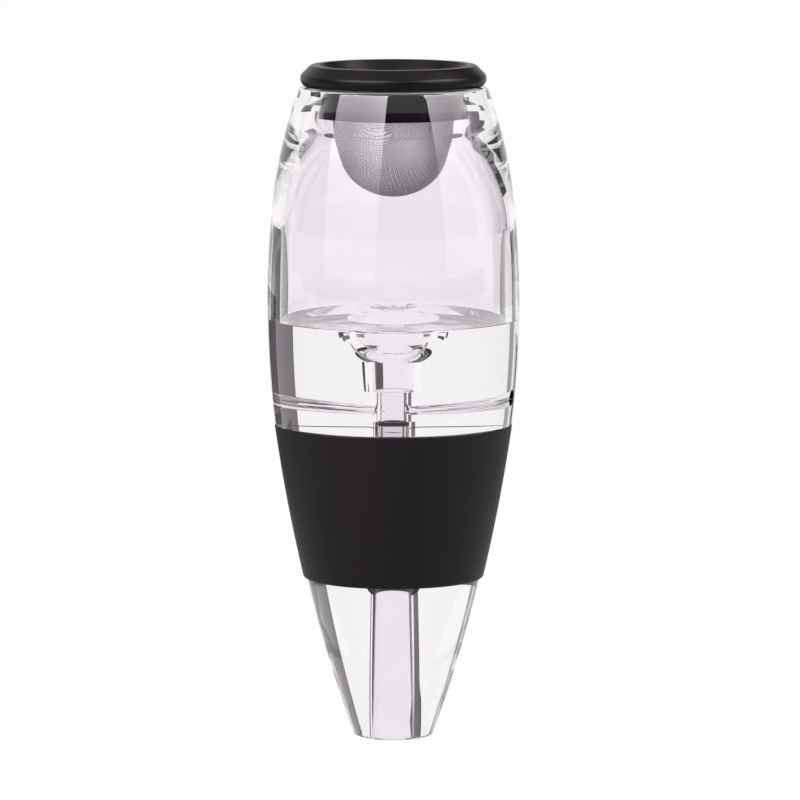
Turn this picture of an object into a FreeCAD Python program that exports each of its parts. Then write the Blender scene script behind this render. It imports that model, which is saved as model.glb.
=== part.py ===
import FreeCAD, Part

import math
import os
import re

import Sketcher

# A hand-held wine aerator, standing on its pouring tip, +Z up along its axis, in millimetres.
# Wine is poured through the strainer in the rim, gathers in the clear chamber, runs through the
# narrow throat, where it draws air in through two side channels, and leaves by the nozzle.

doc = FreeCAD.newDocument("wine_aerator")
sizes = doc.addObject("Spreadsheet::Sheet", "Sizes")

# Driving dimensions. Lengths are along the axis and radii are from it, unless the note says more.
DIMENSIONS = [
    ("nozzle_length", 35.7, "from the pouring tip up to the lower edge of the grip band"),
    ("tip_radius", 8.75, "outside of the nozzle at the tip, before its edge is rounded"),
    ("tip_rounding", 1.3, "rounding of the outer edge of the tip"),
    ("bore_rounding", 0.4, "rounding of the mouth of the bore at the tip"),
    ("nozzle_top_radius", 19.2, "outside of the nozzle where the grip band starts"),
    ("nozzle_swell", 290, "radius of the slight outward swell of the nozzle's side"),
    ("band_length", 34.55, "length of the grip band"),
    ("band_wall", 2.0, "thickness of the grip band at its two edges"),
    ("band_lip", 0.8, "how far the band's lower edge stands out past the nozzle"),
    ("band_proud", 0.1, "how far the band's upper edge stands out past the mixing body"),
    ("band_swell", 380, "radius of the slight outward swell of the band"),
    ("band_low_rounding", 0.8, "rounding of the band's lower outer edge"),
    ("band_high_rounding", 0.3, "rounding of the band's upper outer edge"),
    ("band_clearance", 0.05, "room between the band and the two bodies that it grips"),
    ("belly_rise", 26.75, "from the band's upper edge up to the widest part of the mixing body"),
    ("belly_radius", 28.0, "outside of the mixing body at its widest"),
    ("waist_drop", 1.65, "how much narrower the mixing body is at the band's upper edge"),
    ("upper_rise", 23.0, "from the widest part up to where the shoulder starts to turn in"),
    ("upper_drop", 1.27, "how much narrower the mixing body is there"),
    ("shoulder_rise", 25.0, "from there up to the rim face of the mixing body"),
    ("rim_radius", 20.9, "outside of the mixing body at its rim face"),
    ("rim_rounding", 0.6, "rounding of the two edges of the rim face"),
    ("neck_wall", 4.3, "thickness of the mixing body's wall at the rim"),
    ("chamber_wall", 2.8, "thickness of the mixing body's wall at the chamber's widest"),
    ("chamber_upper_rise", 25.5, "from the chamber's widest up to the foot of the straight neck"),
    ("chamber_lower_rise", 13.5, "straight side of the chamber below its widest"),
    ("chamber_corner", 5.0, "radius of the curve from the chamber's side to its floor"),
    ("cup_radius", 7.8, "the round cup sunk in the chamber's floor"),
    ("cup_side", 3.6, "from the cup's rounded bottom up to the floor"),
    ("cup_bowl", 4.5, "depth of the cup's rounded bottom"),
    ("cup_lip_rounding", 3.4, "flare from the cup's side out into the floor"),
    ("well_radius", 4.8, "the straight well under the cup"),
    ("well_depth", 6.4, "depth of the well"),
    ("throat_radius", 2.87, "the narrow throat under the well"),
    ("throat_length", 6.4, "length of the throat"),
    ("air_height", 2.1, "from the foot of the throat up to where the air channels meet it"),
    ("air_fall", 2.0, "how far each air channel falls from the outside to the axis"),
    ("air_throat_radius", 0.85, "radius of an air channel at the axis"),
    ("air_mouth_radius", 1.85, "radius of an air channel level with the widest outside"),
    ("air_channels", 2, "number of air channels round the throat"),
    ("split_rise", 29.3, "from the band's lower edge up to the foot of the mixing body"),
    ("spigot_radius", 22.0, "the nozzle's wide spigot, which the mixing body fits over"),
    ("spigot_length", 5.1, "length of the spigot"),
    ("spigot_chamfer", 0.6, "lead-in chamfer of the spigot"),
    ("spigot_clearance", 0.1, "room round the spigot and round the nose on it"),
    ("spigot_end_gap", 0.15, "room over the end of the spigot"),
    ("nose_radius", 3.4, "the slim nose on the spigot, which carries the sealing ring"),
    ("nose_length", 1.5, "length of the nose"),
    ("nose_bore", 2.45, "radius of the bore through the nose"),
    ("bore_split_radius", 3.4, "radius of the bore level with the split"),
    ("exit_radius", 4.7, "radius of the bore at the tip"),
    ("ring_section", 1.0, "thickness of the throat's sealing ring"),
    ("ring_clearance", 0.05, "room round the outside of the sealing ring"),
    ("skirt_length", 7.05, "the pouring rim's skirt, which plugs the neck"),
    ("skirt_clearance", 0.1, "room between the skirt and the neck"),
    ("flange_seat", 1.9, "width of the flange face that rests on the rim"),
    ("flange_relief", 0.4, "how far the flange's under face rises outside that"),
    ("flange_inset", 0.3, "how far inside the edge of the mixing body's rim the flange ends"),
    ("flange_low_edge", 1.5, "from the rim face up to the flange's widest"),
    ("flange_tuck", 0.6, "how much narrower the flange's lower edge is"),
    ("flange_slope", 2.3, "height and width of the flange's sloping shoulder"),
    ("flange_height", 5.0, "from the rim face up to the top of the pouring rim"),
    ("flange_rounding", 1.2, "rounding of the flange's edges"),
    ("mouth_land", 1.8, "width of the level land round the pouring mouth"),
    ("mouth_rounding", 0.35, "rounding of the edge of the pouring mouth"),
    ("skirt_wall", 2.95, "thickness of the skirt round the strainer's hem"),
    ("hem_depth", 3.0, "how far the hem reaches up into the skirt"),
    ("hem_clearance", 0.05, "room round the hem"),
    ("hem_ledge", 0.7, "width of the ledge in the skirt that the hem stands against"),
    ("mesh_wall", 0.5, "thickness of the strainer's woven wall"),
    ("mesh_taper_length", 7.5, "from the hem down to where the round bottom starts"),
    ("mesh_taper", 1.7, "how much narrower the strainer is there"),
    ("mesh_bowl", 9.45, "depth of the strainer's round bottom"),
    ("hem_rib", 0.8, "plain wall between the hem and the first row of windows"),
    ("taper_window", 2.9, "height of a window in the two upper rows"),
    ("taper_rib", 0.5, "height of the rib between the two upper rows"),
    ("bowl_window_angle", 15, "height of a window in the round bottom, as an angle"),
    ("bowl_rib_angle", 2.4, "height of a rib in the round bottom, as an angle"),
    ("bowl_start_angle", 8, "angle from the very bottom up to the lowest row of the round bottom"),
    ("window_share", 0.86, "the part of each row's pitch that is open"),
    ("pole_radius", 1.2, "radius of the window at the very bottom"),
    ("upper_windows", 24, "number of windows in each of the two upper rows"),
    ("bowl_windows_a", 7, "number of windows in the lowest row of the round bottom"),
    ("bowl_windows_b", 13, "number of windows in the second row"),
    ("bowl_windows_c", 18, "number of windows in the third row"),
    ("bowl_windows_d", 22, "number of windows in the fourth row"),
]
for row, (alias, number, note) in enumerate(DIMENSIONS, start=1):
    sizes.set("A%d" % row, alias)
    sizes.set("B%d" % row, str(number))
    sizes.set("C%d" % row, note)
    sizes.setAlias("B%d" % row, alias)
doc.recompute()

# Heights above the tip, stacked from the lengths.
BAND_LOW = "nozzle_length"
BAND_HIGH = BAND_LOW + " + band_length"
SPLIT = BAND_LOW + " + split_rise"
SPIGOT_TOP = SPLIT + " + spigot_length"
NOSE_TOP = SPIGOT_TOP + " + nose_length"
THROAT_FOOT = NOSE_TOP + " + ring_section"
WELL_FOOT = THROAT_FOOT + " + throat_length"
CUP_FOOT = WELL_FOOT + " + well_depth"
CUP_BOWL_TOP = CUP_FOOT + " + cup_bowl"
FLOOR = CUP_BOWL_TOP + " + cup_side"
CORNER_TOP = FLOOR + " + chamber_corner"
CHAMBER_WIDEST = CORNER_TOP + " + chamber_lower_rise"
NECK_FOOT = CHAMBER_WIDEST + " + chamber_upper_rise"
BELLY = BAND_HIGH + " + belly_rise"
SHOULDER = BELLY + " + upper_rise"
RIM = SHOULDER + " + shoulder_rise"
SKIRT_FOOT = RIM + " - skirt_length"
HEM_TOP = SKIRT_FOOT + " + hem_depth"
MESH_SHOULDER = SKIRT_FOOT + " - mesh_taper_length"
MESH_FOOT = MESH_SHOULDER + " - mesh_bowl"
MOUTH = RIM + " + flange_height"

# Radii that several pieces share.
SEAT_HIGH = "belly_radius - waist_drop - band_wall"
SEAT_LOW = "nozzle_top_radius + band_lip - band_wall"
SEAT_SPLIT = SEAT_LOW + " + (" + SEAT_HIGH + " - (" + SEAT_LOW + ")) * split_rise / band_length"
CHAMBER = "belly_radius - chamber_wall"
NECK_BORE = "rim_radius - neck_wall"
NOSE_SOCKET = "nose_radius + spigot_clearance"
SKIRT = NECK_BORE + " - skirt_clearance"
HEM_SOCKET = SKIRT + " - skirt_wall"
HEM = HEM_SOCKET + " - hem_clearance"
SKIRT_BORE = HEM_SOCKET + " - hem_ledge"
FLANGE = "rim_radius - flange_inset"
POURING_MOUTH = FLANGE + " - flange_slope - mouth_land"
MESH_SHOULDER_RADIUS = HEM + " - mesh_taper"

AXIS = "0"
EDGE_TOLERANCE = 1e-4


def bound(expression):
    """The expression as the document reads it, with each size taken from the sheet."""
    return re.sub(r"\b[a-z][a-z_]*\b(?!\()", lambda found: "Sizes." + found.group(), expression)


def value(expression):
    """What the expression comes to with the present sizes."""
    return float(sizes.evalExpression(bound(expression)))


def new_body(name):
    body = doc.addObject("PartDesign::Body", name)
    body.Label = name
    body.Placement = FreeCAD.Placement()
    return body


def new_sketch(body, name):
    """An empty sketch in the upright plane through the axis: x is the radius, y the height."""
    sketch = body.newObject("Sketcher::SketchObject", name)
    upright = [plane for plane in body.Origin.OriginFeatures if plane.Role == "XZ_Plane"][0]
    sketch.AttachmentSupport = (upright, [""])
    sketch.MapMode = "FlatFace"
    return sketch


def hold(sketch, kind, geometry, end, expression):
    """Hold one coordinate of a point at the value of an expression."""
    if expression == AXIS:
        axis = -2 if kind == "DistanceX" else -1
        sketch.addConstraint(Sketcher.Constraint("PointOnObject", geometry, end, axis))
        return
    number = sketch.addConstraint(Sketcher.Constraint(kind, -1, 1, geometry, end, value(expression)))
    sketch.setExpression("Constraints[%d]" % number, bound(expression))


def arc_centre(kind, start, end, along):
    """Centre of an arc from start to end: level with one of them, on the axis or tangent."""
    (x0, y0), (x1, y1) = start, end
    if kind == "level with start":
        return ((x1**2 - x0**2) + (y1 - y0) ** 2) / (2 * (x1 - x0)), y0
    if kind == "level with end":
        return ((x0**2 - x1**2) + (y0 - y1) ** 2) / (2 * (x0 - x1)), y1
    if kind == "on the axis":
        return 0.0, ((x1**2 - x0**2) + (y1**2 - y0**2)) / (2 * (y1 - y0))
    if kind == "tangent":
        normal = (-along[1], along[0])
        chord = (x1 - x0, y1 - y0)
        reach = (chord[0] ** 2 + chord[1] ** 2) / (2 * (chord[0] * normal[0] + chord[1] * normal[1]))
        return x0 + normal[0] * reach, y0 + normal[1] * reach
    # An outward swell of a given radius, for a side that is drawn upwards.
    radius = value(kind)
    half = math.hypot(x1 - x0, y1 - y0) / 2
    inward = math.sqrt(radius**2 - half**2) / (2 * half)
    return (x0 + x1) / 2 - (y1 - y0) * inward, (y0 + y1) / 2 + (x1 - x0) * inward


def closed_profile(body, name, corners, arcs=None):
    """A sketch through the corners, each a radius and a height, with arcs after some of them."""
    arcs = arcs or {}
    sketch = new_sketch(body, name)
    points = [(value(radius), value(height)) for radius, height in corners]
    ends = []
    along = None
    for number, start in enumerate(points):
        end = points[(number + 1) % len(points)]
        if number not in arcs:
            line = Part.LineSegment(FreeCAD.Vector(*start, 0), FreeCAD.Vector(*end, 0))
            ends.append((sketch.addGeometry(line), 1, 2))
            length = math.dist(start, end)
            along = ((end[0] - start[0]) / length, (end[1] - start[1]) / length)
            continue
        centre = arc_centre(arcs[number], start, end, along)
        radius = math.dist(centre, start)
        first = math.atan2(start[1] - centre[1], start[0] - centre[0])
        last = math.atan2(end[1] - centre[1], end[0] - centre[0])
        anticlockwise = math.sin(last - first) > 0
        circle = Part.Circle(FreeCAD.Vector(*centre, 0), FreeCAD.Vector(0, 0, 1), radius)
        turn = (first, last) if anticlockwise else (last, first)
        arc = sketch.addGeometry(Part.ArcOfCircle(circle, *turn))
        ends.append((arc, 1, 2) if anticlockwise else (arc, 2, 1))
        sign = 1 if anticlockwise else -1
        along = (-sign * (end[1] - centre[1]) / radius, sign * (end[0] - centre[0]) / radius)
    for number, (geometry, first_end, last_end) in enumerate(ends):
        following, following_end, _ = ends[(number + 1) % len(ends)]
        kind = arcs.get(number)
        if arcs.get((number + 1) % len(ends)) == "tangent":
            joint = Sketcher.Constraint("Tangent", geometry, last_end, following, following_end)
        else:
            joint = Sketcher.Constraint("Coincident", geometry, last_end, following, following_end)
        sketch.addConstraint(joint)
        hold(sketch, "DistanceX", geometry, first_end, corners[number][0])
        hold(sketch, "DistanceY", geometry, first_end, corners[number][1])
        if kind in ("level with start", "level with end"):
            side = first_end if kind == "level with start" else last_end
            sketch.addConstraint(Sketcher.Constraint("Horizontal", geometry, 3, geometry, side))
        elif kind == "on the axis":
            sketch.addConstraint(Sketcher.Constraint("PointOnObject", geometry, 3, -2))
        elif kind not in (None, "tangent"):
            swell = Sketcher.Constraint("Radius", geometry, value(kind))
            sketch.setExpression("Constraints[%d]" % sketch.addConstraint(swell), bound(kind))
    return sketch


def turned(body, name, sketch, operation="PartDesign::Revolution", axis="V_Axis"):
    """Turn the sketch a full turn, to add its solid or, as a groove, to cut it away."""
    feature = body.newObject(operation, name)
    feature.Profile = sketch
    feature.ReferenceAxis = (sketch, [axis])
    feature.Angle = 360
    doc.recompute()
    return feature


def cut_away(body, name, corners, arcs=None):
    sketch = closed_profile(body, name + "_profile", corners, arcs)
    return turned(body, name, sketch, "PartDesign::Groove")


def dress_edges(body, name, kind, size, *places):
    """Fillet or chamfer the round edges that lie at the given radii and heights."""
    base = body.Tip
    wanted = [(value(radius), value(height)) for radius, height in places]
    edges = []
    for number, edge in enumerate(base.Shape.Edges, start=1):
        if not isinstance(edge.Curve, Part.Circle):
            continue
        for radius, height in wanted:
            same_radius = abs(edge.Curve.Radius - radius) < EDGE_TOLERANCE
            if same_radius and abs(edge.Curve.Center.z - height) < EDGE_TOLERANCE:
                edges.append("Edge%d" % number)
    feature = body.newObject("PartDesign::" + kind, name)
    feature.Base = (base, edges)
    feature.setExpression("Radius" if kind == "Fillet" else "Size", bound(size))
    doc.recompute()


# Mixing body: one clear acrylic moulding, thin round the chamber and solid round the throat.
mixing_body = new_body("mixing_body")
outside = closed_profile(
    mixing_body,
    "mixing_outside",
    [
        (AXIS, SPLIT),
        (SEAT_SPLIT, SPLIT),
        (SEAT_HIGH, BAND_HIGH),
        ("belly_radius - waist_drop", BAND_HIGH),
        ("belly_radius", BELLY),
        ("belly_radius - upper_drop", SHOULDER),
        ("rim_radius", RIM),
        (AXIS, RIM),
    ],
    {3: "level with end", 4: "level with start", 5: "tangent"},
)
turned(mixing_body, "mixing_solid", outside)
cut_away(
    mixing_body,
    "chamber",
    [
        (AXIS, RIM),
        (AXIS, CUP_FOOT),
        ("well_radius", CUP_FOOT),
        ("cup_radius", CUP_BOWL_TOP),
        ("cup_radius", FLOOR),
        (CHAMBER + " - chamber_corner", FLOOR),
        (CHAMBER, CORNER_TOP),
        (CHAMBER, CHAMBER_WIDEST),
        (NECK_BORE, NECK_FOOT),
        (NECK_BORE, RIM),
    ],
    {2: "level with end", 5: "level with end", 7: "level with start"},
)
cut_away(
    mixing_body,
    "throat",
    [
        (AXIS, CUP_FOOT),
        (AXIS, THROAT_FOOT),
        ("throat_radius", THROAT_FOOT),
        ("throat_radius", WELL_FOOT),
        ("well_radius", WELL_FOOT),
        ("well_radius", CUP_FOOT),
    ],
)
cut_away(
    mixing_body,
    "socket",
    [
        (AXIS, SPLIT),
        ("spigot_radius + spigot_clearance", SPLIT),
        ("spigot_radius + spigot_clearance", SPIGOT_TOP + " + spigot_end_gap"),
        (NOSE_SOCKET, SPIGOT_TOP + " + spigot_end_gap"),
        (NOSE_SOCKET, THROAT_FOOT),
        (AXIS, THROAT_FOOT),
    ],
)
dress_edges(mixing_body, "cup_lip", "Fillet", "cup_lip_rounding", ("cup_radius", FLOOR))
dress_edges(mixing_body, "rim_edges", "Fillet", "rim_rounding", ("rim_radius", RIM), (NECK_BORE, RIM))

# The air channels taper inwards and fall a little from the outside to the throat.
air_sketch = new_sketch(mixing_body, "air_channel_profile")
air_foot = THROAT_FOOT + " + air_height"
air_start = FreeCAD.Vector(0, value(air_foot), 0)
air_end = FreeCAD.Vector(value("belly_radius"), value(air_foot + " + air_fall"), 0)
air_side = FreeCAD.Vector(0, 0, 1).cross((air_end - air_start).normalize())
air_corners = [
    air_start,
    air_end,
    air_end + air_side * value("air_mouth_radius"),
    air_start + air_side * value("air_throat_radius"),
]
for number, corner in enumerate(air_corners):
    air_sketch.addGeometry(Part.LineSegment(corner, air_corners[(number + 1) % 4]))
for number in range(4):
    joint = Sketcher.Constraint("Coincident", number, 2, (number + 1) % 4, 1)
    air_sketch.addConstraint(joint)
hold(air_sketch, "DistanceX", 0, 1, AXIS)
hold(air_sketch, "DistanceY", 0, 1, air_foot)
hold(air_sketch, "DistanceX", 0, 2, "belly_radius")
hold(air_sketch, "DistanceY", 0, 2, air_foot + " + air_fall")
for side, size in ((1, "air_mouth_radius"), (3, "air_throat_radius")):
    air_sketch.addConstraint(Sketcher.Constraint("Perpendicular", 0, side))
    length = air_sketch.addConstraint(Sketcher.Constraint("Distance", side, value(size)))
    air_sketch.setExpression("Constraints[%d]" % length, bound(size))
centreline = air_sketch.addGeometry(Part.LineSegment(air_start, air_end), True)
air_sketch.addConstraint(Sketcher.Constraint("Coincident", centreline, 1, 0, 1))
air_sketch.addConstraint(Sketcher.Constraint("Coincident", centreline, 2, 0, 2))
doc.recompute()
air_channel = turned(mixing_body, "air_channel", air_sketch, "PartDesign::Groove", "Axis0")


def polar_copies(body, name, feature, count):
    """Repeat a cut evenly round the axis."""
    pattern = body.newObject("PartDesign::PolarPattern", name)
    upright = [axis for axis in body.Origin.OriginFeatures if axis.Role == "Z_Axis"][0]
    pattern.Originals = [feature]
    pattern.Axis = (upright, [""])
    pattern.Angle = 360
    pattern.setExpression("Occurrences", bound(count))
    body.Tip = pattern
    doc.recompute()


polar_copies(mixing_body, "air_channel_pair", air_channel, "air_channels")

# Nozzle body: the solid clear cone under the band, with its spigot and nose above.
nozzle_body = new_body("nozzle_body")
outside = closed_profile(
    nozzle_body,
    "nozzle_outside",
    [
        (AXIS, AXIS),
        ("tip_radius", AXIS),
        ("nozzle_top_radius", BAND_LOW),
        (SEAT_LOW, BAND_LOW),
        (SEAT_SPLIT, SPLIT),
        ("spigot_radius", SPLIT),
        ("spigot_radius", SPIGOT_TOP),
        ("nose_radius", SPIGOT_TOP),
        ("nose_radius", NOSE_TOP),
        (AXIS, NOSE_TOP),
    ],
    {1: "nozzle_swell"},
)
turned(nozzle_body, "nozzle_solid", outside)
cut_away(
    nozzle_body,
    "nozzle_bore",
    [
        (AXIS, AXIS),
        ("exit_radius", AXIS),
        ("bore_split_radius", SPLIT),
        ("nose_bore", SPIGOT_TOP),
        ("nose_bore", NOSE_TOP),
        (AXIS, NOSE_TOP),
    ],
)
dress_edges(nozzle_body, "tip_edge", "Fillet", "tip_rounding", ("tip_radius", AXIS))
dress_edges(nozzle_body, "bore_edge", "Fillet", "bore_rounding", ("exit_radius", AXIS))
dress_edges(nozzle_body, "spigot_edge", "Chamfer", "spigot_chamfer", ("spigot_radius", SPIGOT_TOP))

# Sealing ring: a small dark rubber ring squeezed between the nose and the foot of the throat.
throat_ring = doc.addObject("Part::Torus", "throat_ring")
throat_ring.Label = "throat_ring"
throat_ring.setExpression("Radius2", bound("ring_section / 2"))
throat_ring.setExpression("Radius1", bound(NOSE_SOCKET + " - ring_clearance - ring_section / 2"))
throat_ring.setExpression("Placement.Base.z", bound(NOSE_TOP + " + ring_section / 2"))

# Grip band: a moulded rubber sleeve, stretched over the joint between the two bodies.
grip_band = new_body("grip_band")
sleeve = closed_profile(
    grip_band,
    "band_profile",
    [
        (SEAT_LOW + " + band_clearance", BAND_LOW),
        ("nozzle_top_radius + band_lip", BAND_LOW),
        ("belly_radius - waist_drop + band_proud", BAND_HIGH),
        (SEAT_HIGH + " + band_clearance", BAND_HIGH),
    ],
    {1: "band_swell"},
)
turned(grip_band, "band_sleeve", sleeve)
lower_edge = ("nozzle_top_radius + band_lip", BAND_LOW)
upper_edge = ("belly_radius - waist_drop + band_proud", BAND_HIGH)
dress_edges(grip_band, "band_lower_edge", "Fillet", "band_low_rounding", lower_edge)
dress_edges(grip_band, "band_upper_edge", "Fillet", "band_high_rounding", upper_edge)

# Pouring rim: a soft black moulding whose skirt plugs the neck and carries the strainer.
pour_rim = new_body("pour_rim")
flange_foot = RIM + " + flange_relief"
flange_widest = RIM + " + flange_low_edge"
flange_shoulder = MOUTH + " - flange_slope"
section = closed_profile(
    pour_rim,
    "rim_profile",
    [
        (HEM_SOCKET, SKIRT_FOOT),
        (SKIRT, SKIRT_FOOT),
        (SKIRT, RIM),
        (SKIRT + " + flange_seat", RIM),
        (FLANGE + " - flange_tuck", flange_foot),
        (FLANGE, flange_widest),
        (FLANGE, flange_shoulder),
        (FLANGE + " - flange_slope", MOUTH),
        (POURING_MOUTH, MOUTH),
        (SKIRT_BORE, RIM),
        (SKIRT_BORE, HEM_TOP),
        (HEM_SOCKET, HEM_TOP),
    ],
)
turned(pour_rim, "rim_moulding", section)
flange_edges = [
    (FLANGE + " - flange_tuck", flange_foot),
    (FLANGE, flange_widest),
    (FLANGE, flange_shoulder),
    (FLANGE + " - flange_slope", MOUTH),
]
dress_edges(pour_rim, "flange_edges", "Fillet", "flange_rounding", *flange_edges)
dress_edges(pour_rim, "mouth_edge", "Fillet", "mouth_rounding", (POURING_MOUTH, MOUTH))

# Strainer: steel mesh pressed to a deep dome, its hem pushed up into the skirt. The weave is one
# wall with rows of windows between upright and level ribs.
mesh_dome = new_body("mesh_dome")
dome = closed_profile(
    mesh_dome,
    "mesh_outside",
    [
        (AXIS, HEM_TOP),
        (AXIS, MESH_FOOT),
        (MESH_SHOULDER_RADIUS, MESH_SHOULDER),
        (HEM, SKIRT_FOOT),
        (HEM, HEM_TOP),
    ],
    {1: "on the axis"},
)
turned(mesh_dome, "mesh_solid", dome)
cut_away(
    mesh_dome,
    "mesh_inside",
    [
        (AXIS, HEM_TOP),
        (AXIS, MESH_FOOT + " + mesh_wall"),
        (MESH_SHOULDER_RADIUS + " - mesh_wall", MESH_SHOULDER),
        (HEM + " - mesh_wall", SKIRT_FOOT),
        (HEM + " - mesh_wall", HEM_TOP),
    ],
    {1: "on the axis"},
)


def window_row(name, count, corners):
    """A row of windows: one cut through the wall, then its copies round the axis."""
    sketch = closed_profile(mesh_dome, name + "_profile", corners)
    window = mesh_dome.newObject("PartDesign::Groove", name)
    window.Profile = sketch
    window.ReferenceAxis = (sketch, ["V_Axis"])
    window.Midplane = True
    window.setExpression("Angle", bound("360 * window_share / " + count))
    doc.recompute()
    polar_copies(mesh_dome, name + "_copies", window, count)


# Two rows in the tapering side, cut level through the wall.
for number, name in enumerate(("upper_row", "lower_row")):
    top = "%s - hem_rib - %d * (taper_window + taper_rib)" % (SKIRT_FOOT, number)
    foot = top + " - taper_window"
    inner = MESH_SHOULDER_RADIUS + " - 2 * mesh_wall"
    corners = [(inner, foot), (HEM, foot), (HEM, top), (inner, top)]
    window_row(name, "upper_windows", corners)

# Four rows in the round bottom, cut square to the wall from the centre of its curve.
BOWL_RADIUS = "(({0})^2 + mesh_bowl^2) / (2 * mesh_bowl)".format(MESH_SHOULDER_RADIUS)
BOWL_CENTRE = MESH_FOOT + " + " + BOWL_RADIUS
for number, name in enumerate(("bowl_windows_a", "bowl_windows_b", "bowl_windows_c", "bowl_windows_d")):
    low = "bowl_start_angle + %d * (bowl_window_angle + bowl_rib_angle)" % number
    high = low + " + bowl_window_angle"
    corners = []
    for reach, angle in (("-", low), ("+", low), ("+", high), ("-", high)):
        edge = "(%s %s 2 * mesh_wall)" % (BOWL_RADIUS, reach)
        corners.append(("%s * sin(%s)" % (edge, angle), "%s - %s * cos(%s)" % (BOWL_CENTRE, edge, angle)))
    window_row(name.replace("windows", "row"), name, corners)

# One round window at the very bottom.
pole_low = MESH_FOOT + " - mesh_wall"
pole_high = MESH_FOOT + " + 2 * mesh_wall"
pole = [(AXIS, pole_low), ("pole_radius", pole_low), ("pole_radius", pole_high), (AXIS, pole_high)]
cut_away(mesh_dome, "pole_window", pole)

# Check every object, then write each piece to its own file.
doc.recompute()
for item in doc.Objects:
    if "Invalid" in item.State or "Error" in item.State:
        raise RuntimeError("%s failed: %s" % (item.Label, item.State))
pieces = [mixing_body, nozzle_body, throat_ring, grip_band, pour_rim, mesh_dome]
for piece in pieces:
    if piece.Shape.isNull() or not piece.Shape.isValid():
        raise RuntimeError("%s has no valid shape" % piece.Label)
os.makedirs("parts", exist_ok=True)
for piece in pieces:
    piece.Shape.exportStep("parts/%s.step" % piece.Label)
    print("%s: %.1f cubic millimetres" % (piece.Label, piece.Shape.Volume))
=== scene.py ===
import math

import bmesh
import bpy
from mathutils import Matrix, Vector


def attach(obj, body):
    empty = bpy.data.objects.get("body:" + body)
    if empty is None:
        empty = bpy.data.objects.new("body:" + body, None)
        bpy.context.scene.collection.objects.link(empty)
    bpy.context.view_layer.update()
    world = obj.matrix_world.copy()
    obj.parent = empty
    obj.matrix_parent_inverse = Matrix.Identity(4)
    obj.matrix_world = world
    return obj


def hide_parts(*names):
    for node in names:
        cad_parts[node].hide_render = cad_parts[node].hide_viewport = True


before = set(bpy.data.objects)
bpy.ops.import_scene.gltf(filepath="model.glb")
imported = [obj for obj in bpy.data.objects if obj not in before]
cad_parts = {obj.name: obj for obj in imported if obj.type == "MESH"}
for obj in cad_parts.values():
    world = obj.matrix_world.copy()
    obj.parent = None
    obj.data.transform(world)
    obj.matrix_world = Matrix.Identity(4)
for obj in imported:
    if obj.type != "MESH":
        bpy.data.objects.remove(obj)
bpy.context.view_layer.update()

scene = bpy.context.scene

# Camera. A long lens on a tripod, a little above the aerator and level with its middle to the side,
# as in the photograph, where the aerator's axis stands just left of the centre of the frame.
PHOTO_SIDE = 800
AXIS_PIXEL = 393.4
FOCAL_PIXELS = 6705.3
view_turn = math.radians(15)
camera_distance = 1.48
camera_height = 0.256
camera_pitch = math.radians(6.96)
camera_data = bpy.data.cameras.new("camera")
camera_data.sensor_width = 36
camera_data.lens = FOCAL_PIXELS / PHOTO_SIDE * camera_data.sensor_width
camera_data.shift_x = (PHOTO_SIDE / 2 - AXIS_PIXEL) / PHOTO_SIDE
camera_data.clip_end = 50
camera = bpy.data.objects.new("camera", camera_data)
camera_way = Vector((math.sin(view_turn), -math.cos(view_turn), 0))
camera.location = camera_way * camera_distance + Vector((0, 0, camera_height))
camera.rotation_euler = (math.pi / 2 - camera_pitch, 0, view_turn)
scene.collection.objects.link(camera)
scene.camera = camera
scene.view_settings.view_transform = "Standard"

# Light crosses the clear walls many times before it leaves them.
scene.cycles.max_bounces = 24
scene.cycles.transmission_bounces = 24
scene.cycles.glossy_bounces = 16

# Floor and backdrop. A sheet of white paper under and behind the aerator. It is lit to white, keeps
# a faint contact shadow, and acrylic and rubber see it white as the lens does.
paper_half = 30.0
paper_glow = 0.97
room_light = 0.35


def linear(hex_colour):
    """An sRGB hex colour as linear RGBA."""
    channels = [int(hex_colour[place:place + 2], 16) / 255 for place in (0, 2, 4)]
    return tuple(c / 12.92 if c <= 0.04045 else ((c + 0.055) / 1.055) ** 2.4 for c in channels) + (1,)


def add(tree, kind, settings=None, links=None):
    """Add a node to a tree, set its properties and sockets, and link its inputs."""
    node = tree.nodes.new(kind)
    for name, setting in (settings or {}).items():
        if name in node.inputs.keys():
            node.inputs[name].default_value = setting
        else:
            setattr(node, name, setting)
    for name, source in (links or {}).items():
        tree.links.new(source, node.inputs[name])
    return node


def new_finish(name):
    """A material with an empty tree, for the nodes of one finish."""
    finish = bpy.data.materials.new(name)
    finish.use_nodes = True
    finish.node_tree.nodes.clear()
    return finish, finish.node_tree


def shown(form, name):
    """An object in the scene from a finished bmesh, in metres."""
    data = bpy.data.meshes.new(name)
    form.to_mesh(data)
    form.free()
    thing = bpy.data.objects.new(name, data)
    scene.collection.objects.link(thing)
    return thing


def seen_share(tree):
    """A share that is 1 where the lens sees a thing, itself or through a mirror or clear wall."""
    ray = add(tree, "ShaderNodeLightPath").outputs
    bent_links = {0: ray["Is Glossy Ray"], 1: ray["Is Transmission Ray"]}
    bent = add(tree, "ShaderNodeMath", {"operation": "MAXIMUM"}, bent_links)
    seen_links = {0: ray["Is Camera Ray"], 1: bent.outputs[0]}
    return add(tree, "ShaderNodeMath", {"operation": "MAXIMUM"}, seen_links).outputs[0]


sheet = bmesh.new()
bmesh.ops.create_grid(sheet, x_segments=1, y_segments=1, size=paper_half)
floor = shown(sheet, "paper_floor")

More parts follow.
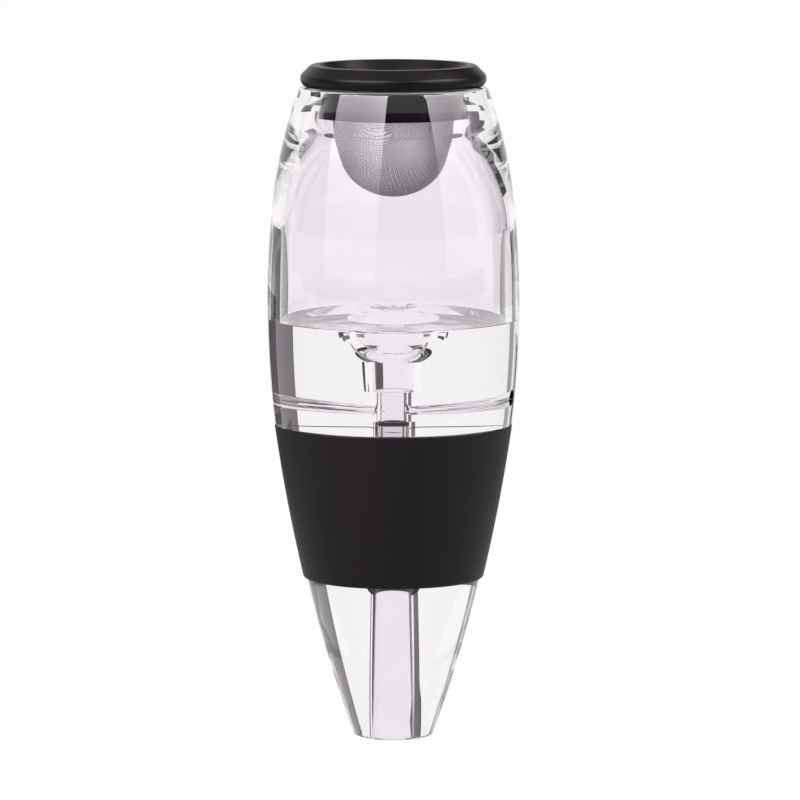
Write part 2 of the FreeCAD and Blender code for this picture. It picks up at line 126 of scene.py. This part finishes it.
# Uncoated white paper: even and without shine, so that only the shadow shows on it.
paper, tree = new_finish("white_paper")
lit = add(tree, "ShaderNodeBsdfDiffuse", {"Color": linear("F4F4F4")})
glow = add(tree, "ShaderNodeEmission", {"Color": linear("FFFFFF"), "Strength": 1.0})
kept = add(tree, "ShaderNodeMath", {"operation": "MULTIPLY"}, {0: seen_share(tree)})
kept.inputs[1].default_value = paper_glow
mixed = add(tree, "ShaderNodeMixShader", {}, {0: kept.outputs[0], 1: lit.outputs[0], 2: glow.outputs[0]})
add(tree, "ShaderNodeOutputMaterial", {}, {"Surface": mixed.outputs[0]})
floor.data.materials.append(paper)

world = bpy.data.worlds.new("studio")
scene.world = world
world.use_nodes = True
tree = world.node_tree
tree.nodes.clear()
room = add(tree, "ShaderNodeBackground", {"Color": linear("FFFFFF"), "Strength": room_light})
white = add(tree, "ShaderNodeBackground", {"Color": linear("FFFFFF"), "Strength": 1.0})
mixed = add(tree, "ShaderNodeMixShader", {}, {0: seen_share(tree), 1: room.outputs[0], 2: white.outputs[0]})
add(tree, "ShaderNodeOutputWorld", {}, {"Surface": mixed.outputs[0]})

# Softboxes. Two large studio lights with cloth fronts, one on each side and a little above. Each is
# a lamp, with a glowing sheet over it for the reflections.
softbox_aim = Vector((0, 0, 0.1))
softbox_rise = math.radians(26)
softbox_height = 1.05
softbox_distance = 1.0
softbox_strength = 1.4
cloth_low = 1.2
cloth_fade = 2.5


def softbox(name, azimuth, width, cloth_high):
    """A softbox this wide that faces the aerator from this azimuth, its cloth this bright at the top."""
    lamp = bpy.data.lights.new(name, "AREA")
    lamp.shape = "RECTANGLE"
    lamp.size = width
    lamp.size_y = softbox_height
    lamp.energy = softbox_strength * math.pi * width * softbox_height
    box = bpy.data.objects.new(name, lamp)
    turn = math.radians(azimuth) + view_turn
    level = math.cos(softbox_rise)
    way = Vector((math.sin(turn) * level, -math.cos(turn) * level, math.sin(softbox_rise)))
    box.location = softbox_aim + way * softbox_distance
    box.rotation_euler = way.to_track_quat("Z", "Y").to_euler()
    box.visible_camera = False
    box.visible_glossy = False
    box.visible_transmission = False
    scene.collection.objects.link(box)

    cloth = bmesh.new()
    bmesh.ops.create_grid(cloth, x_segments=1, y_segments=1, size=0.5)
    face = shown(cloth, name + "_face")
    face.location = box.location
    face.rotation_euler = box.rotation_euler
    face.scale = (width, softbox_height, 1)
    face.visible_camera = False
    face.visible_diffuse = False
    face.visible_transmission = False
    face.visible_shadow = False

    # White diffuser cloth, lit from behind: a faintly violet glow that falls off down the sheet.
    finish, tree = new_finish(name + "_cloth")
    place = add(tree, "ShaderNodeTexCoord")
    axes = add(tree, "ShaderNodeSeparateXYZ", {}, {"Vector": place.outputs["Object"]})
    rows = {"From Min": -0.5, "From Max": 0.5}
    up = add(tree, "ShaderNodeMapRange", rows, {"Value": axes.outputs["Y"]})
    fade = add(tree, "ShaderNodeMath", {"operation": "POWER"}, {0: up.outputs["Result"]})
    fade.inputs[1].default_value = cloth_fade
    glow_range = {"To Min": cloth_low, "To Max": cloth_high}
    brightness = add(tree, "ShaderNodeMapRange", glow_range, {"Value": fade.outputs[0]})
    tint = {"Color": linear("FFF8FF")}
    shade = add(tree, "ShaderNodeEmission", tint, {"Strength": brightness.outputs["Result"]})
    add(tree, "ShaderNodeOutputMaterial", {}, {"Surface": shade.outputs[0]})
    face.data.materials.append(finish)


softbox("left_softbox", -41, 1.02, 29)
softbox("right_softbox", 70, 0.85, 27)

# Studio cards. Grey and black cards stand round the aerator and lie on the table, all out of the
# lens's sight. Each glows with a set tone instead of being lit by the lamps: painted studio light and
# shade. The clear walls bend the view on to them, and that draws their edges in grey.


def card(name, azimuth, span, near, far, colour):
    """A card curved round the aerator between two edges, each a distance and a height in metres."""
    sheet = bmesh.new()
    start = math.radians(azimuth - span / 2) + view_turn
    edge = [
        sheet.verts.new((math.sin(start) * reach, -math.cos(start) * reach, height))
        for reach, height in (near, far)
    ]
    sheet.edges.new(edge)
    whole = sheet.verts[:] + sheet.edges[:]
    bmesh.ops.spin(sheet, geom=whole, cent=(0, 0, 0), axis=(0, 0, 1), angle=math.radians(span), steps=24)
    panel = shown(sheet, name)
    panel.visible_camera = False
    panel.visible_diffuse = False
    panel.visible_shadow = False

    # Glowing card, though no lamp: one even painted tone of studio light and shade, the same from every side.
    finish, tree = new_finish(name + "_glowing_tone_card")
    shade = add(tree, "ShaderNodeEmission", {"Color": linear(colour), "Strength": 1.0})
    add(tree, "ShaderNodeOutputMaterial", {}, {"Surface": shade.outputs[0]})
    panel.data.materials.append(finish)


card("right_flag", 122, 38, (0.9, 0.003), (0.9, 1.2), "6B676C")
card("left_flag", 240, 8, (0.9, 0.003), (0.9, 1.2), "8A868B")
card("left_edge_flag", 270, 34, (0.9, 0.06), (0.9, 1.2), "3A363B")
card("dark_room", 0, 180, (1.35, 0.0), (1.35, 2.4), "3A363B")
card("left_table", 211, 27, (0.3, 0.003), (1.0, 0.003), "2A262B")
card("right_table", 155, 12, (0.3, 0.003), (0.72, 0.003), "4A464B")
card("near_left_table", 229, 34, (0.18, 0.004), (0.3, 0.004), "6B676C")
card("near_right_table", 131, 30, (0.2, 0.004), (0.28, 0.004), "3A363B")
card("right_room", 147, 14, (0.9, 0.3), (0.9, 1.6), "4A464B")
card("right_ceiling", 140, 52, (0.9, 0.56), (0.9, 1.8), "4A464B")
card("left_room", 209, 32, (0.9, 0.66), (0.9, 1.6), "8A868B")

# Mixing body. Cast clear acrylic, polished in its mould: thin round the chamber and solid round the
# throat. It stands on the nozzle body inside the grip band. Lengths here and below are millimetres.
MM = 0.001
TURN_STEPS = 256

# Levels, from the tip up.
nozzle_length = 35.7
band_length = 34.55
split_rise = 29.3
band_high = nozzle_length + band_length
split = nozzle_length + split_rise
spigot_top = split + 5.1
nose_top = spigot_top + 1.5
throat_foot = nose_top + 1.0
well_foot = throat_foot + 6.4
cup_foot = well_foot + 6.4
chamber_floor = cup_foot + 8.1
chamber_widest = chamber_floor + 18.5
neck_foot = chamber_widest + 25.5
belly = band_high + 26.75
shoulder = belly + 23.0
rim = shoulder + 25.0

# Radii of the outside and of the seats inside the band.
belly_radius = 28.0
waist_radius = belly_radius - 1.65
shoulder_radius = belly_radius - 1.27
rim_radius = 20.9
rim_rounding = 0.6
nozzle_top_radius = 19.2
band_low_radius = nozzle_top_radius + 0.8
band_wall = 2.0
seat_high = waist_radius - band_wall
seat_low = band_low_radius - band_wall
seat_split = seat_low + (seat_high - seat_low) * split_rise / band_length
split_gap = 0.03

# Radii of the inside, from the neck down to the spigot's socket.
neck_bore = rim_radius - 4.3
neck_blend = 12.0
chamber_radius = belly_radius - 2.8
chamber_corner = 0.2
cup_radius = 8.6
cup_swell = 8.0
cup_lip = 2.9
lip_turn = math.radians(64)
well_radius = 4.8
well_draft = 0.28
throat_radius = 2.87
nose_radius = 3.4
nose_socket = nose_radius + 0.1
spigot_radius = 22.0
spigot_socket = spigot_radius + 0.1
socket_top = spigot_top + 0.15


def bend(start, end, centre, count):
    """Points along the shorter arc from start to end round a centre, without its start."""
    radius = math.dist(centre, start)
    first = math.atan2(start[1] - centre[1], start[0] - centre[0])
    sweep = math.atan2(end[1] - centre[1], end[0] - centre[0]) - first
    sweep = (sweep + math.pi) % (2 * math.pi) - math.pi
    angles = [first + sweep * step / count for step in range(1, count)]
    return [(centre[0] + radius * math.cos(a), centre[1] + radius * math.sin(a)) for a in angles] + [end]


def level_centre(start, end, level):
    """Centre of the arc from start to end, at the height level, which is one of their heights."""
    near, far = (start, end) if level == start[1] else (end, start)
    across = ((far[0] ** 2 - near[0] ** 2) + (far[1] - near[1]) ** 2) / (2 * (far[0] - near[0]))
    return across, level


def swell_centre(start, end, radius):
    """Centre of an outward arc of this radius, for a side that is drawn upwards."""
    half = math.dist(start, end) / 2
    inward = math.sqrt(radius**2 - half**2) / (2 * half)
    across = (start[0] + end[0]) / 2 - (end[1] - start[1]) * inward
    return across, (start[1] + end[1]) / 2 + (end[0] - start[0]) * inward


def eased(outline, corner, radius, count=6):
    """The outline with one of its corners rounded."""
    place = outline.index(corner)
    point = Vector(corner)
    before = (Vector(outline[place - 1]) - point).normalized()
    after = (Vector(outline[(place + 1) % len(outline)]) - point).normalized()
    half = before.angle(after) / 2
    reach = radius / math.tan(half)
    centre = point + (before + after).normalized() * (radius / math.sin(half))
    start = tuple(point + before * reach)
    end = tuple(point + after * reach)
    return outline[:place] + [start] + bend(start, end, tuple(centre), count) + outline[place + 1:]


def smooth(piece):
    """Shade a piece smooth, but not over its real edges."""
    piece.data.shade_smooth()
    piece.data.set_sharp_from_angle(angle=math.radians(30))


def turned(name, outline, steps=TURN_STEPS):
    """Turn a closed outline of radii and heights into a piece round the axis."""
    form = bmesh.new()
    corners = [form.verts.new((radius * MM, 0, height * MM)) for radius, height in outline]
    for number, corner in enumerate(corners):
        form.edges.new((corner, corners[(number + 1) % len(corners)]))
    whole = form.verts[:] + form.edges[:]
    round_axis = {"cent": (0, 0, 0), "axis": (0, 0, 1), "angle": 2 * math.pi}
    bmesh.ops.spin(form, geom=whole, steps=steps, use_merge=True, **round_axis)
    bmesh.ops.recalc_face_normals(form, faces=form.faces[:])
    piece = shown(form, name)
    smooth(piece)
    return piece


# The outside: waist, belly, shoulder and rim, each arc running on from the one below.
waist = (waist_radius, band_high)
widest = (belly_radius, belly)
turn_in = (shoulder_radius, shoulder)
rim_corner = (rim_radius, rim)
upper_centre = level_centre(widest, turn_in, belly)
inward = (Vector(upper_centre) - Vector(turn_in)).normalized()
chord = Vector(rim_corner) - Vector(turn_in)
shoulder_centre = tuple(Vector(turn_in) + inward * (chord.length_squared / (2 * chord.dot(inward))))
outline = [(spigot_socket, split + split_gap), (seat_split, split + split_gap), (seat_high, band_high), waist]
outline += bend(waist, widest, level_centre(waist, widest, belly), 24)
outline += bend(widest, turn_in, upper_centre, 20)
outline += bend(turn_in, rim_corner, shoulder_centre, 24)

# The inside: the straight neck blends into the chamber's arc, which ends in a square corner.
neck_corner = (neck_bore, rim)
neck_end = (neck_bore, neck_foot)
chamber_side = (chamber_radius, chamber_widest)
chamber_centre = level_centre(neck_end, chamber_side, chamber_widest)
chamber_swell = chamber_radius - chamber_centre[0]
blend_side = neck_bore + neck_blend - chamber_centre[0]
blend_rise = math.sqrt((chamber_swell + neck_blend) ** 2 - blend_side**2)
blend_centre = (neck_bore + neck_blend, chamber_widest + blend_rise)
blend_share = chamber_swell / (chamber_swell + neck_blend)
blend_end = (chamber_centre[0] + blend_side * blend_share, chamber_widest + blend_rise * blend_share)
blend_start = (neck_bore, blend_centre[1])
corner_start = (chamber_radius, chamber_floor + chamber_corner)
corner_end = (chamber_radius - chamber_corner, chamber_floor)
outline += [neck_corner, blend_start]
outline += bend(blend_start, blend_end, blend_centre, 16)
outline += bend(blend_end, chamber_side, chamber_centre, 36)
outline += [corner_start]
outline += bend(corner_start, corner_end, (corner_end[0], corner_start[1]), 12)

# The floor's flared cup, and under it the well, the throat and the sockets.
lip_centre = (cup_radius + cup_lip * math.sin(lip_turn), chamber_floor - cup_lip)
lip_start = (lip_centre[0], chamber_floor)
lip_end = (cup_radius, lip_centre[1] + cup_lip * math.cos(lip_turn))
cup_end = (well_radius, cup_foot)
outline += [lip_start]
outline += bend(lip_start, lip_end, lip_centre, 20)
outline += bend(lip_end, cup_end, swell_centre(cup_end, lip_end, cup_swell), 24)
outline += [(well_radius - well_draft, well_foot), (throat_radius, well_foot), (throat_radius, throat_foot)]
outline += [(nose_socket, throat_foot), (nose_socket, socket_top), (spigot_socket, socket_top)]
outline = eased(outline, rim_corner, rim_rounding)
outline = eased(outline, neck_corner, rim_rounding)
mixing_clear = turned("mixing_body_clear", outline)

# The two air channels are bored from the sides to the throat by a tapered cutter.
air_foot = throat_foot + 2.1
air_fall = 2.0
air_start_radius = 0.85
air_mouth_radius = 1.85
air_length = math.hypot(belly_radius, air_fall)
air_tilt = math.atan2(air_fall, belly_radius)
for air_side in (0, math.pi):
    taper = bmesh.new()
    bmesh.ops.create_cone(
        taper,
        cap_ends=True,
        segments=64,
        radius1=air_start_radius * MM,
        radius2=air_mouth_radius * MM,
        depth=air_length * MM,
    )
    lie = Matrix.Rotation(air_side, 4, "Z")
    lie @= Matrix.Translation((0, 0, air_foot * MM))
    lie @= Matrix.Rotation(-air_tilt, 4, "Y")
    lie @= Matrix.Rotation(math.pi / 2, 4, "Y")
    lie @= Matrix.Translation((0, 0, air_length / 2 * MM))
    bmesh.ops.transform(taper, matrix=lie, verts=taper.verts[:])
    cutter = shown(taper, "air_cutter")
    cut = mixing_clear.modifiers.new("air_channel", "BOOLEAN")
    cut.operation = "DIFFERENCE"
    cut.solver = "EXACT"
    cut.object = cutter
    graph = bpy.context.evaluated_depsgraph_get()
    bored = bpy.data.meshes.new_from_object(mixing_clear.evaluated_get(graph))
    mixing_clear.modifiers.clear()
    mixing_clear.data = bored
    bpy.data.objects.remove(cutter)
mixing_clear.data.name = "mixing_body_clear"
smooth(mixing_clear)

# Clear cast acrylic, polished: sharp reflections, a faint violet tint where it is thick, and a slow
# ripple from the way it flowed into the mould.
flow_wave = 16.667
acrylic, tree = new_finish("clear_cast_acrylic")
place = add(tree, "ShaderNodeTexCoord")
waves = {"Scale": 1 / (flow_wave * MM), "Detail": 1.0}
flow = add(tree, "ShaderNodeTexNoise", waves, {"Vector": place.outputs["Object"]})
shallow = {"Strength": 0.02, "Distance": 0.5 * MM}
ripple = add(tree, "ShaderNodeBump", shallow, {"Height": flow.outputs["Fac"]})
settings = {"Base Color": linear("F9F6F9"), "Roughness": 0.0, "IOR": 1.49, "Transmission Weight": 1.0}
clear = add(tree, "ShaderNodeBsdfPrincipled", settings, {"Normal": ripple.outputs["Normal"]})
add(tree, "ShaderNodeOutputMaterial", {}, {"Surface": clear.outputs[0]})
mixing_clear.data.materials.clear()
mixing_clear.data.materials.append(acrylic)
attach(mixing_clear, "root")
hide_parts("mixing_body")

# Nozzle body. The same cast acrylic: a solid cone with a bore that widens to the tip, a wide spigot
# that plugs into the mixing body, and on it a short nose that presses the sealing ring.
nozzle_swell = 290
tip_rounding = 1.3
mouth_rounding = 0.4
nose_bore = 2.45
bore_at_split = 3.4
tip = (8.75, 0.0)
bore_mouth = (4.7, 0.0)
nozzle_top = (nozzle_top_radius, nozzle_length)
outline = [bore_mouth, tip]
outline += bend(tip, nozzle_top, swell_centre(tip, nozzle_top, nozzle_swell), 24)
outline += [(seat_low, nozzle_length), (seat_split, split - split_gap), (spigot_radius, split - split_gap)]
outline += [(spigot_radius, spigot_top), (nose_radius, spigot_top), (nose_radius, nose_top)]
outline += [(nose_bore, nose_top), (nose_bore, spigot_top), (bore_at_split, split)]
outline = eased(outline, tip, tip_rounding)
outline = eased(outline, bore_mouth, mouth_rounding)
nozzle_clear = turned("nozzle_body_clear", outline)
nozzle_clear.data.materials.append(acrylic)
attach(nozzle_clear, "root")
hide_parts("nozzle_body")

# Throat ring. A small black rubber sealing ring of round section, moulded in one piece and squeezed
# between the nozzle's nose and the throat's foot.
ring_section = 0.5
ring_radius = 2.95
ring_centre = nose_top + ring_section
ring_angles = [math.tau * step / 24 for step in range(24)]
outline = [
    (ring_radius + ring_section * math.cos(angle), ring_centre + ring_section * math.sin(angle))
    for angle in ring_angles
]
throat_seal = turned("throat_ring_rubber", outline, 96)


def grained(name, settings, grain, detail, strength, depth):
    """A moulded finish whose surface has a grain this wide and this deep, in millimetres."""
    finish, tree = new_finish(name)
    place = add(tree, "ShaderNodeTexCoord")
    pattern = {"Scale": 1 / (grain * MM), "Detail": detail}
    noise = add(tree, "ShaderNodeTexNoise", pattern, {"Vector": place.outputs["Object"]})
    height = {"Strength": strength, "Distance": depth * MM}
    relief = add(tree, "ShaderNodeBump", height, {"Height": noise.outputs["Fac"]})
    shade = add(tree, "ShaderNodeBsdfPrincipled", settings, {"Normal": relief.outputs["Normal"]})
    add(tree, "ShaderNodeOutputMaterial", {}, {"Surface": shade.outputs[0]})
    return finish


# Nitrile rubber, moulded: dull black. Its real grain is too fine to show, so it is drawn coarser.
settings = {"Base Color": linear("1C191D"), "Roughness": 0.45}
seal_rubber = grained("moulded_seal_rubber", settings, 0.333, 2.0, 0.3, 0.05)
throat_seal.data.materials.append(seal_rubber)
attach(throat_seal, "root")
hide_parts("throat_ring")

# Grip band. A black rubber sleeve, moulded matt and stretched over the joint of the two bodies. Its
# edges stand just proud of them.
band_room = 0.05
band_proud = 0.1
band_swell = 380
band_low_rounding = 0.8
band_high_rounding = 0.3
band_foot = (band_low_radius, nozzle_length)
band_head = (waist_radius + band_proud, band_high)
outline = [(seat_low + band_room, nozzle_length), band_foot]
outline += bend(band_foot, band_head, swell_centre(band_foot, band_head, band_swell), 24)
outline += [(seat_high + band_room, band_high)]
outline = eased(outline, band_foot, band_low_rounding)
outline = eased(outline, band_head, band_high_rounding)
band = turned("grip_band_rubber", outline)

# Silicone rubber, moulded matt: deep black with a broad soft sheen, and a grain drawn coarse enough
# to break the sheen up.
settings = {"Base Color": linear("130D13"), "Roughness": 0.5, "Specular IOR Level": 0.15}
grip_rubber = grained("matt_moulded_rubber", settings, 0.4, 3.0, 0.35, 0.06)
band.data.materials.append(grip_rubber)
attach(band, "root")
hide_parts("grip_band")

# Pouring rim. Black plastic, moulded with a satin face: a flange that lies on the rim, a funnel
# inside it and a skirt that is pushed down into the neck. The strainer's hem sits in the skirt.
hem_radius = 13.5
hem_seat = hem_radius + 0.05
hem_ledge = 0.7
skirt = neck_bore - 0.1
skirt_foot = rim - 7.05
skirt_bore = hem_seat - hem_ledge
hem_top = skirt_foot + 3.0
flange = 20.6
flange_rounding = 1.2
flange_top = rim + 5.0
mouth_edge = 0.35
mouth = (16.5, flange_top)
flange_corners = [(flange - 0.6, rim + 0.4), (flange, rim + 1.5)]
flange_corners += [(flange, rim + 2.7), (flange - 2.3, flange_top)]
outline = [(hem_seat, skirt_foot), (skirt, skirt_foot), (skirt, rim), (skirt + 1.9, rim)]
outline += flange_corners + [mouth, (skirt_bore, rim), (skirt_bore, hem_top), (hem_seat, hem_top)]
for corner in flange_corners:
    outline = eased(outline, corner, flange_rounding)
outline = eased(outline, mouth, mouth_edge)
rim_moulding = turned("pour_rim_moulding", outline)

# ABS, moulded with a satin face: black, with a soft highlight round the flange and a faint grain,
# drawn a little coarser than the real one.
settings = {"Base Color": linear("0F0A10"), "Roughness": 0.36, "Specular IOR Level": 0.12}
rim_plastic = grained("satin_moulded_plastic", settings, 0.286, 2.0, 0.2, 0.04)
rim_moulding.data.materials.append(rim_plastic)
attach(rim_moulding, "root")
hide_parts("pour_rim")

# Strainer. Plain-woven stainless wire, drawn to a deep dome, its hem pushed up into the skirt. Each
# wire goes over and under the ones it crosses.
wire_radius = 0.09
wire_pitch = 0.55
taper_in = 2.0
taper_drop = 7.0
bowl_depth = 8.7
hem_length = 2.6
mesh_shoulder = skirt_foot - taper_drop
mesh_foot = mesh_shoulder - bowl_depth
mesh_shoulder_radius = hem_radius - taper_in
bowl_radius = (mesh_shoulder_radius**2 + bowl_depth**2) / (2 * bowl_depth)
bowl_centre = mesh_foot + bowl_radius
bowl_length = bowl_radius * math.asin(mesh_shoulder_radius / bowl_radius)
taper_length = math.hypot(taper_in, taper_drop)
taper_turn = math.atan2(taper_drop, taper_in)
sheet_reach = bowl_length + taper_length + hem_length


def drawn(along):
    """Radius, height and outward slope of the dome at this length along its wall from the bottom."""
    if along < bowl_length:
        turn = along / bowl_radius
        return bowl_radius * math.sin(turn), bowl_centre - bowl_radius * math.cos(turn), turn
    along -= bowl_length
    if along < taper_length:
        radius = mesh_shoulder_radius + along * math.cos(taper_turn)
        return radius, mesh_shoulder + along * math.sin(taper_turn), taper_turn
    return hem_radius, skirt_foot + along - taper_length, math.pi / 2


weave = bpy.data.curves.new("mesh_dome_wire", "CURVE")
weave.dimensions = "3D"
weave.bevel_depth = wire_radius * MM
weave.bevel_resolution = 0
half_count = int(sheet_reach / wire_pitch)
places = range(-half_count, half_count + 1)
for direction in range(2):
    for wire in places:
        run = []
        for crossing in places:
            across, up = wire * wire_pitch, crossing * wire_pitch
            along = math.hypot(across, up)
            if along > sheet_reach:
                continue
            radius, height, slope = drawn(along)
            turn = math.atan2(up, across) if direction else math.atan2(across, up)
            over = wire_radius if (wire + crossing + direction) % 2 else -wire_radius
            radius += over * math.sin(slope) - wire_radius
            height -= over * math.cos(slope)
            run.append((radius * math.cos(turn) * MM, radius * math.sin(turn) * MM, height * MM))
        if len(run) < 2:
            continue
        strand = weave.splines.new("POLY")
        strand.points.add(len(run) - 1)
        for point, corner in zip(strand.points, run):
            point.co = (*corner, 1)
weave_curve = bpy.data.objects.new("weave_curve", weave)
scene.collection.objects.link(weave_curve)
graph = bpy.context.evaluated_depsgraph_get()
woven = bpy.data.meshes.new_from_object(weave_curve.evaluated_get(graph))
bpy.data.objects.remove(weave_curve)
woven.shade_smooth()
mesh_wire = bpy.data.objects.new("mesh_dome_wire", woven)
scene.collection.objects.link(mesh_wire)

# Stainless steel wire, drawn and then crimped in the weave: bright, and in patches a little duller.
dull_patch = 1.11
steel, tree = new_finish("woven_stainless_wire")
place = add(tree, "ShaderNodeTexCoord")
patches = {"Scale": 1 / (dull_patch * MM)}
tone = add(tree, "ShaderNodeTexNoise", patches, {"Vector": place.outputs["Object"]})
dull_range = {"To Min": 0.28, "To Max": 0.42}
dullness = add(tree, "ShaderNodeMapRange", dull_range, {"Value": tone.outputs["Fac"]})
settings = {"Base Color": linear("BCB7BD"), "Metallic": 1.0}
metal = add(tree, "ShaderNodeBsdfPrincipled", settings, {"Roughness": dullness.outputs["Result"]})
add(tree, "ShaderNodeOutputMaterial", {}, {"Surface": metal.outputs[0]})
woven.materials.clear()
woven.materials.append(steel)
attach(mesh_wire, "root")
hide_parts("mesh_dome")
